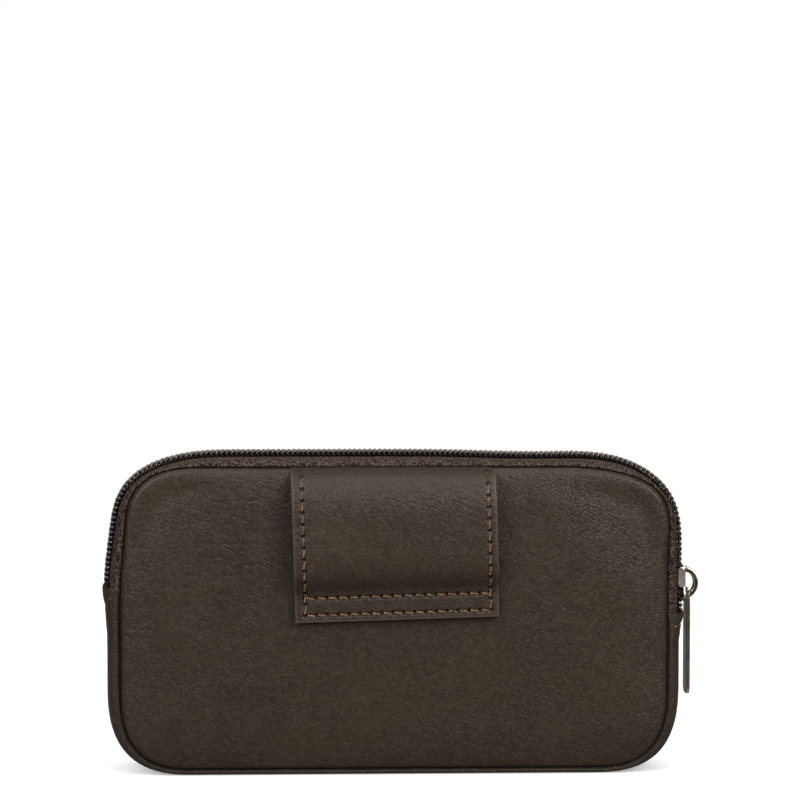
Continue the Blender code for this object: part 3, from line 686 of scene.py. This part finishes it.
start, end = -seamRun(side["leftLow"] + side["tabOverlap"]), seamRun(side["rightLow"] + side["tabOverlap"])
finishPiece("gussetSkin", bendStrip(start, end, side, gussetSection), sideLeather,
            "pouch", ("gusset",), wall=side["leather"])
start, end = -seamRun(side["leftTop"] - innerSide["end"]), seamRun(side["rightTop"] - innerSide["end"])
finishPiece("gussetLiningCloth", bendStrip(start, end, innerSide, liningSection), liningWeave,
            "pouch", ("gusset_lining",), wall=lining["cloth"])
makeTab("rightZipTab", ("right_zip_end_tab",), side["rightLow"], side["rightTop"], False)
makeTab("leftZipTab", ("left_zip_end_tab",), side["leftLow"], side["leftTop"], True)
print("gusset and tabs made")


tape = {
    "topCrown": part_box("back_zip_tape")[1].z - body["top"],
    "sideCrown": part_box("back_zip_tape")[1].x - body["halfWidth"], "inner": -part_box("back_zip_tape")[1].y,
    "flat": 6.0 * mm, "cloth": 0.6 * mm, "width": 12.5 * mm, "grid": (520, 26), "underTab": 1.0 * mm,
    # shares of the way across: tucked, then rising and flat
    "tuck": 1.4 * mm, "inset": 0.3 * mm, "tuckShare": 0.12, "openShare": 0.88,
    "riseShare": 0.55, "flatShare": 0.45, "risePower": 0.8, "ridgeShare": 0.56, "ridgeWidth": 0.05,
    "wave": 0.06 * mm, "waveSize": 6 * mm,
    # painted shade in the tapes' seam groove: its reach, wavering into uneven dashes, and its least reach
    "seamDark": 0.13 * mm, "darkWave": 2.2, "darkSize": 1.4 * mm, "leastDark": 0.04 * mm,
}


def tapeCrown(run):
    # the tapes stand out further at the sides than along the top
    outX, _, loss = seamSpot(run)[2:]
    return tape["topCrown"] + (tape["sideCrown"] - tape["topCrown"]) * outX ** 2 - loss


def tapeSection(facing):
    def section(run, across):
        # across runs from -1 at the seam to 1 beside the chain's middle
        share = (across + 1) / 2
        if share < tape["tuckShare"]:
            reach = body["halfDepth"] - tape["inset"]
            return facing * reach, -tape["tuck"] * (1 - share / tape["tuckShare"]), 1.0, 0.0
        share = (share - tape["tuckShare"]) / tape["openShare"]
        turn = min(share / tape["riseShare"], 1.0) * pi / 2
        reach = tape["flat"] + (body["halfDepth"] - tape["flat"]) * cos(turn)
        if share > tape["riseShare"]:
            reach = tape["flat"] + (tape["inner"] - tape["flat"]) * (share - tape["riseShare"]) / tape["flatShare"]
        height = tapeCrown(run) * sin(turn) ** tape["risePower"]
        height += tape["wave"] * ripple(run, reach, 0, tape["waveSize"], 9.0) * sin(turn)
        # painted shade: full in the tuck, fading with height above the seam in uneven dashes; then the ridge mark
        dark = tape["seamDark"] * (1 + tape["darkWave"] * ripple(run, 0, 0, tape["darkSize"], 3.0))
        ridge = fallOff(share - tape["ridgeShare"], tape["ridgeWidth"])
        return facing * reach, height, fallOff(height, max(dark, tape["leastDark"])), ridge
    return section


chainEnds = (seamRun(side["rightTop"]), seam["length"] - seamRun(side["leftTop"]))


def makeTape(name, facing, rides, stands):
    start, end = chainEnds[0] - tape["underTab"], chainEnds[1] + tape["underTab"]
    finishPiece(name, bendStrip(start, end, tape, tapeSection(facing)), tapeWeave,
                rides, stands, wall=tape["cloth"])


makeTape("backTape", -1.0, "pouch", ("back_zip_tape",))
makeTape("frontTape", 1.0, foldRide, ("front_zip_tape_right", "front_zip_tape_top", "front_zip_tape_left"))
print("tapes made")


coil = {
    "pitch": 1.47 * mm, "wire": 0.33 * mm, "base": -0.05 * mm,
    "top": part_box("back_zip_coil")[1].z - body["top"] - tape["topCrown"],
    "outer": 2.67 * mm, "head": -0.02 * mm, "tabGap": 0.4 * mm, "probe": 0.2 * mm,
    "parting": 2.4 * mm, "partingRun": 5.8 * mm, "channel": 6.1 * mm,
    "threadRadius": 0.2 * mm, "threadRows": (0.62 * mm, 1.48 * mm), "drift": 0.16 * mm,
    "over": 0.55, "under": 1.35,   # of the thread's radius, of the wire's
}
coil["partingTop"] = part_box("slider_body")[1].z - coil["channel"]
turnShape = (  # shares of the pitch, of the reach from head to outer bend, of the height
    (0.00, 0.94, 1.0), (0.00, 0.5, 1.0), (0.00, 0.1, 1.0), (0.03, 0.00, 0.5),
    (0.08, 0.1, 0.0), (0.32, 0.55, 0.0), (0.6, 0.94, 0.0), (0.82, 1.00, 0.5),
)
threadShape = (  # share of the pitch, over the wire, drop, lean
    (-0.38, False, 0.0, -1), (-0.16, True, 0.06 * mm, -1), (0.08, True, 0.0, 1), (0.28, True, 0.12 * mm, 1),
)


def partingAt(run):
    if run > seam["length"] / 2:
        return 0.0
    return coil["parting"] * smoothStep(coil["partingTop"] - seamSpot(run)[1], 0.0, coil["partingRun"])


def coilPlace(run, reach, height, facing):
    return seamPoint(run, facing * (reach + partingAt(run)), tapeCrown(run) + height)


def coilTurns(facing, offset):
    # the chain is outside the seam, so its pitch on the seam is worked out turn by turn
    low, high = coil["base"] + coil["wire"], coil["top"] - coil["wire"]
    middle = (low + high) / 2
    run, end = chainEnds[0] + coil["tabGap"] + offset * coil["pitch"], chainEnds[1] - coil["tabGap"]
    points, rests = [], []
    while run < end:
        here, ahead = coilPlace(run, 0, middle, 0.0), coilPlace(run + coil["probe"], 0, middle, 0.0)
        step = coil["pitch"] * coil["probe"] / (ahead - here).length
        for along, out, up in turnShape:
            reach = coil["head"] + (coil["outer"] - coil["head"]) * out
            points.append(coilPlace(run + along * step, reach, low + (high - low) * up, facing))
        rests.append((run, step))
        run += step
    return points, rests


def coilSewing(rests, facing):
    over = coil["top"] + coil["threadRadius"] * coil["over"]
    under = coil["top"] - coil["wire"] * coil["under"]
    rows = []
    for row in coil["threadRows"]:
        rows.append([])
        for run, step in rests:
            for along, isOver, drop, lean in threadShape:
                height = (over if isOver else under) - drop
                rows[-1].append(coilPlace(run + along * step, row + lean * coil["drift"], height, facing))
    return rows


backPoints, backRests = coilTurns(-1.0, 0.0)
frontPoints, frontRests = coilTurns(1.0, 0.5)
tubeAlong("backCoil", [backPoints], coil["wire"], coilNylon, "pouch", ("back_zip_coil",))
tubeAlong("frontCoil", [frontPoints], coil["wire"], coilNylon, foldRide,
          ("front_zip_coil_right", "front_zip_coil_top", "front_zip_coil_left"))
tubeAlong("backCoilSewing", coilSewing(backRests, -1.0), coil["threadRadius"], coilThread,
          "pouch", rings=0)
tubeAlong("frontCoilSewing", coilSewing(frontRests, 1.0), coil["threadRadius"], coilThread,
          foldRide, rings=0)
print("coil halves made")


loop = {
    "width": 58.2 * mm, "bottom": 46.0 * mm, "top": body["top"] + 0.2 * mm, "sewn": 8.0 * mm,
    "skived": (86.4 * mm, 89.2 * mm, 0.72),   # thinned where the top goes into the seam
    "inner": body["face"] + 0.3 * mm, "underGap": 0.3 * mm, "bow": 4.6 * mm, "tilt": radians(1.6),
    "levelReach": (62 * mm, 84 * mm), "backing": 0.9 * mm, "face": 1.1 * mm, "gap": 0.25 * mm,
    "backBevel": 0.12 * mm, "faceBevel": 0.22 * mm, "backTrim": 0.25 * mm, "backTop": 0.9 * mm,
    "grid": (220, 160), "corner": 3.2 * mm, "narrowing": 0.9 * mm,
    "rise": (0.0, 0.03, 0.07, 0.12, 0.18, 0.27, 0.4, 0.66, 0.78, 0.87, 0.94, 0.98, 1.0),
    "bowShares": (0.0, 0.16, 0.42, 0.68, 0.86, 0.97, 1.02, 1.02, 0.95, 0.8, 0.58, 0.3, 0.0),
    "softSteps": (-1.2, -0.6, 0.0, 0.6, 1.2),   # mm, over which the bow is evened out
    "edgeDrop": 0.2 * mm, "edgeReach": 1.2 * mm, "wave": 0.1 * mm, "waveSize": 16 * mm,
    "rowInset": 2.9 * mm, "lowRows": (1.9 * mm, 6.8 * mm), "stitch": 3.2 * mm,
    "rightShift": 0.6 * mm, "rowTop": 1.6 * mm,   # the right row is nearer its edge; both stop below the top
    "rowZone": (2.2 * mm, 1.6 * mm, 1.2 * mm),   # no groove this near the left, right, lower edge
    "holeDepth": 0.6 * mm, "holeRadius": 0.55 * mm, "grooveDepth": 0.2 * mm, "grooveRadius": 0.6 * mm,
    # painted shade at the needle holes, along the rows and under the seam at the top; the worn edge is lighter
    "holeDark": 0.6 * mm, "rowDark": 0.34 * mm, "rowShade": 0.5,
    "wornEdge": 0.4 * mm, "wornTint": 0.75, "topDark": 0.75 * mm, "topShade": 0.9,
}
loop["middle"] = (loop["bottom"] + body["top"]) / 2
loop["rows"] = (-loop["width"] / 2 + loop["rowInset"], loop["width"] / 2 - loop["rowInset"] + loop["rightShift"])


def loopOut(up):
    # how far the loop's inner face stands from the middle plane at a height
    sewnTop = loop["bottom"] + loop["sewn"]
    if up <= sewnTop:
        return loop["inner"]
    share = (up - sewnTop) / (loop["top"] - sewnTop)
    under = body["halfDepth"] + panel["rim"] + panelRise(max(body["top"] - up, 0.0), 0.0) + loop["underGap"]
    return under + loop["bow"] * float(np.interp(share, loop["rise"], loop["bowShares"]))


def loopOutSoft(up):
    return sum(loopOut(up + step * mm) for step in loop["softSteps"]) / len(loop["softSteps"])


def skive(up):
    start, end, loss = loop["skived"]
    return 1 - loss * smoothStep(up, start, end)


def levelled(across, up):
    # the height that the loop's shape follows: its own at the bottom, the seam's at the top
    level = loop["middle"] + across * sin(loop["tilt"]) + (up - loop["middle"]) * cos(loop["tilt"])
    return up + (level - up) * smoothStep(up, *loop["levelReach"])


def loopTopAt(across):
    # the loop's own height at which its tilted top edge meets the seam
    rise = loop["top"] - loop["middle"] - across * sin(loop["tilt"])
    return loop["middle"] + rise / cos(loop["tilt"])


def tilted(across, out, up):
    cosine, sine = cos(loop["tilt"]), sin(loop["tilt"])
    z = up - loop["middle"]
    return Vector((across * cosine - z * sine, -out, loop["middle"] + across * sine + z * cosine))


def stitchesBetween(low, high):
    count = round((high - low) / loop["stitch"])
    marks = [low + (high - low) * step / count for step in range(count + 1)]
    return list(zip(marks, marks[1:]))


def stitchPlaces():
    # pairs of needle holes, as places across and up on the loop
    columns = stitchesBetween(loop["bottom"] + loop["lowRows"][0], loop["top"] - loop["rowTop"])
    pairs = [((across, a), (across, b)) for across in loop["rows"] for a, b in columns]
    low = loop["bottom"]
    return pairs + [((a, low + up), (b, low + up)) for up in loop["lowRows"] for a, b in stitchesBetween(*loop["rows"])]


loopPairs = stitchPlaces()
loopHoles = np.array(sorted({(round(x, 6), round(z, 6)) for pair in loopPairs for x, z in pair}))


def holeDistance(across, up):
    return float(np.hypot(loopHoles[:, 0] - across, loopHoles[:, 1] - up).min())


def rowDistance(across, up):
    half, (left, right, low) = loop["width"] / 2, loop["rowZone"]
    if not (left - half < across < half - right and up > loop["bottom"] + low):
        return 1.0
    rows = [abs(up - loop["bottom"] - row) for row in loop["lowRows"]]
    return min(rows + [abs(across - row) for row in loop["rows"]])


def stitchDip(across, up):
    # the leather drawn down round each needle hole and along each row
    hole = loop["holeDepth"] * fallOff(holeDistance(across, up), loop["holeRadius"])
    return hole + loop["grooveDepth"] * fallOff(rowDistance(across, up), loop["grooveRadius"])


def holeShade(across, up):
    # painted shade: needle holes near black, and the thread's own groove a little dark
    hole = fallOff(holeDistance(across, up), loop["holeDark"], 4)
    return max(hole, loop["rowShade"] * fallOff(rowDistance(across, up), loop["rowDark"]))


def loopSheet(out, stitched, trim):
    bm = sheetGrid(*loop["grid"])
    worn, shade = bm.verts.layers.float.new("wear"), bm.verts.layers.float.new("paintedShade")
    half, low = loop["width"] / 2 - trim, loop["bottom"] + trim * 0.5
    for vert in bm.verts:
        across = vert.co.x * half
        high = loopTopAt(across) - (loop["backTop"] if trim else 0.0)
        up = low + (high - low) * (vert.co.y + 1) / 2
        if vert.co.x > 0:
            across -= smoothStep(up, high - loop["corner"], high) ** 2 * loop["narrowing"] * vert.co.x ** 3
        level = levelled(across, up)
        edge = smoothStep(half - abs(across), 0.0, loop["edgeReach"])
        face = loopOutSoft(level) + out * skive(level) - loop["edgeDrop"] * (1 - edge)
        inside = max(min(half - abs(across), up - low), 0.0)
        vert[worn] = loop["wornTint"] * fallOff(inside, loop["wornEdge"])
        if stitched:
            face -= stitchDip(across, up) * skive(level)
            face += loop["wave"] * ripple(across, 0, up, loop["waveSize"], 2.0) * edge
            # painted shade in the needle holes and rows, and a painted shade band just under the seam at the loop's top
            vert[shade] = max(holeShade(across, up), loop["topShade"] * fallOff(high - up, loop["topDark"]))
        vert.co = tilted(across, face, up)
    faceTowards(bm, lambda point: Vector((0, -1, 0)))
    return bm


outerOut = loop["backing"] + loop["gap"] + loop["face"]
finishPiece("beltLoopBack", loopSheet(loop["backing"], False, loop["backTrim"]), loopLeather,
            "pouch", ("belt_loop_backing",), wall=loop["backing"], bevel=loop["backBevel"])
finishPiece("beltLoopFront", loopSheet(outerOut, True, 0.0), loopLeather,
            "pouch", ("belt_loop_face",), wall=loop["face"], bevel=loop["faceBevel"])
print("belt loop made")


twist = {
    "strands": 4, "radius": 0.3 * mm, "share": 0.68, "slant": 0.6, "lean": 0.16 * mm,
    "arch": 0.6, "length": 0.66, "segments": 6,
    "wander": 0.16, "wanderSize": 1.7, "loopSeat": 0.14 * mm, "loopSink": 0.02 * mm,
    "tabSeat": 0.02 * mm, "tabSink": 0.17 * mm, "tabCount": 7, "tabShare": 0.86,
}


def stitchMesh(bm, first, last, outward, sink):
    # a stitch of twisted thread between two holes: slanted strands that dive at both ends
    span = (last - first) * twist["share"]
    alongAxis = span.normalized()
    sideAxis = alongAxis.cross(outward).normalized()
    upAxis = sideAxis.cross(alongAxis)
    lay = (alongAxis + sideAxis * twist["slant"]).normalized()
    flank = lay.cross(upAxis).normalized()
    length, lean = span.length / twist["strands"], sideAxis * twist["lean"]
    for strand in range(twist["strands"]):
        share = (strand + 0.5) / twist["strands"] * 2 - 1
        rise = (1 - share * share) * twist["radius"] * twist["arch"] - sink
        centre = (first + last) / 2 + span * share / 2 + lean * share + upAxis * rise
        made = bmesh.ops.create_uvsphere(bm, u_segments=twist["segments"], v_segments=twist["segments"], radius=1.0)
        for vert in made["verts"]:
            along = vert.co.z * length * twist["length"]
            out, up = vert.co.x * twist["radius"], vert.co.y * twist["radius"]
            vert.co = centre + lay * along + flank * out + upAxis * up


def finishThread(name, bm):
    bmesh.ops.recalc_face_normals(bm, faces=bm.faces)
    finishPiece(name, bm, amberThread, "pouch")


def threadSpot(across, up):
    level = levelled(across, up)
    return tilted(across, loopOutSoft(level) + outerOut * skive(level) - twist["loopSeat"], up)


def loopThread():
    bm = bmesh.new()
    for index, pair in enumerate(loopPairs):
        first, last = (threadSpot(across, up) for across, up in pair)
        drift, rise = (ripple(index, 0, 0, twist["wanderSize"], seed) for seed in (1.0, 6.0))
        wander = Vector((drift, 0, rise)) * twist["wander"] * mm
        stitchMesh(bm, first + wander, last - wander, Vector((0, -1, 0)), twist["loopSink"])
    finishThread("beltLoopThread", bm)


def tabThread(name, height, crown, leftSide):
    bm = bmesh.new()
    run = seamRun(height)
    run = seam["length"] - run if leftSide else run
    half, share = twist["tabCount"] / 2, twist["tabShare"]
    for index in range(twist["tabCount"]):
        start, end = (index - half) / half * share, (index + share - half) / half * share
        ends = []
        for across in (start, end):
            reach, lift, _ = archSection(across, crown, tab["fullness"])
            ends.append(seamPoint(run, reach, lift + twist["tabSeat"]))
        reach, lift, _ = archSection((start + end) / 2, crown, tab["fullness"])
        outward = seamPoint(run, reach * 1.35, lift + 1.0 * mm) - seamPoint(run, reach, lift)
        stitchMesh(bm, *ends, outward.normalized(), twist["tabSink"])
    finishThread(name, bm)


loopThread()
tabThread("rightTabThread", side["rightTop"] - 3.5 * mm, side["sideCrown"] + 0.72 * mm, False)
tabThread("leftTabThread", side["leftTop"] - 2.7 * mm, side["sideCrown"] + 1.02 * mm, True)
print("threads made")


casting = {
    "grain": 0.14 * mm, "rounds": 4, "weld": 1e-6,
    "pieces": (
        ("sliderCast", "slider_body", "slider", agedNickel), ("crownCast", "slider_crown", "slider", darkNickel),
        ("pullCast", "zip_pull", "pull", pullNickel),
    ),
}


def makeCasting(name, node, rides, finish):
    # the node's own solid, remeshed and smoothed, its edges rounded as cast metal is
    rough = meshFrom(name + "Rough", weldedFrom(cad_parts[node].data, casting["weld"]))
    rough = addObject(name + "Rough", rough)
    addModifier(rough, "REMESH", mode="VOXEL", voxel_size=casting["grain"])
    fine = shapedMesh(rough)
    bpy.data.objects.remove(rough)
    bm = bmesh.new()
    bm.from_mesh(fine)
    for _ in range(casting["rounds"]):
        bmesh.ops.smooth_vert(bm, verts=bm.verts, factor=0.5, use_axis_x=True, use_axis_y=True, use_axis_z=True)
    print(name, len(bm.faces), "faces")
    finishPiece(name, bm, finish, rides, (node,), sharp=making["castSharp"])


for castPiece in casting["pieces"]:
    makeCasting(*castPiece)
print("slider, crown and pull made")


view = {
    "distance": 900 * mm, "height": 169 * mm, "turn": radians(2.0),   # a little to the left of straight on
    "aim": 107.7 * mm, "scale": 0.29 * mm, "pixels": 800, "shiftX": 6.8 / 800, "sensor": 36.0, "clip": (0.01, 50),
    "room": 0.05, "floor": 480 * mm, "floorTone": 0.84, "floorGlow": 0.36, "floorDim": 0.22,
    "lights": (  # name, place, aim, size, power in watts, mirrored
        ("softboxAbove", (0.0, 0.05, 1.1), (0, 0, 0), (1.3, 1.0), 5.6, True),
        ("softboxFront", (0.0, -0.32, 0.56), (0, 0, 0.08), (0.9, 0.3), 1.5, True),
        ("softboxLeft", (-0.7, -0.94, 0.66), (0, 0, 0.05), (0.64, 0.64), 8.8, True),
        ("softboxRight", (0.72, -0.94, 0.7), (0, 0, 0.05), (0.64, 0.64), 12.6, True),
        ("softboxFill", (-0.1, -1.2, 0.4), (0, 0, 0.05), (1.2, 0.7), 4.8, False),
        ("softboxBack", (-0.35, 1.15, 0.34), (0, 0, 0.05), (0.9, 0.5), 9.0, False),
    ),
}


def seenAs(tree, other, seen, output):
    # one look for the camera, another for the light on the part
    sight, either = tree.nodes.new("ShaderNodeLightPath"), tree.nodes.new("ShaderNodeMixShader")
    tree.links.new(sight.outputs["Is Camera Ray"], either.inputs[0])
    tree.links.new(other.outputs[0], either.inputs[1])
    tree.links.new(seen.outputs[0], either.inputs[2])
    tree.links.new(either.outputs[0], output.inputs["Surface"])


def makeStage():
    bm = bmesh.new()
    bmesh.ops.create_circle(bm, cap_ends=True, segments=96, radius=view["floor"])
    floor = addObject("floor", meshFrom("floor", bm))
    white = Finish("paleFloor", (view["floorTone"],) * 3, 0.65,
                   Emission_Color=(1, 1, 1, 1), Emission_Strength=view["floorGlow"])
    dim = white.tree.nodes.new("ShaderNodeBsdfDiffuse")
    dim.inputs["Color"].default_value = (*(view["floorDim"],) * 3, 1)
    seenAs(white.tree, dim, white.shader, white.tree.nodes["Material Output"])
    floor.data.materials.append(white.material)


def aimAt(thing, place, aim):
    thing.location = place
    thing.rotation_euler = (Vector(aim) - Vector(place)).to_track_quat("-Z", "Y").to_euler()


def makeLight(name, place, aim, size, power, mirrored):
    data = bpy.data.lights.new(name, "AREA")
    data.shape, data.size, data.size_y, data.energy = "RECTANGLE", *size, power
    lamp = addObject(name, data)
    aimAt(lamp, place, aim)
    lamp.visible_glossy = mirrored


def makeWorld():
    # a dim room round the part, seen as plain white behind it
    world = bpy.data.worlds.new("studio")
    scene.world = world
    world.use_nodes = True
    tree = world.node_tree
    room, white = tree.nodes["Background"], tree.nodes.new("ShaderNodeBackground")
    for background, strength in ((room, view["room"]), (white, 1.0)):
        background.inputs["Color"].default_value = (1, 1, 1, 1)
        background.inputs["Strength"].default_value = strength
    seenAs(tree, room, white, tree.nodes["World Output"])


def makeCamera():
    data = bpy.data.cameras.new("camera")
    camera = addObject("camera", data)
    scene.camera = camera
    distance, turn, aim = view["distance"], view["turn"], (0, 0, view["aim"])
    aimAt(camera, (-distance * sin(turn), -distance * cos(turn), view["height"]), aim)
    data.sensor_width = view["sensor"]
    data.lens = view["sensor"] * (Vector(aim) - camera.location).length / (view["scale"] * view["pixels"])
    data.shift_x = view["shiftX"]
    data.clip_start, data.clip_end = view["clip"]


scene.view_settings.view_transform = "Standard"
makeWorld()
makeStage()
for light in view["lights"]:
    makeLight(*light)
makeCamera()
print("stage made")
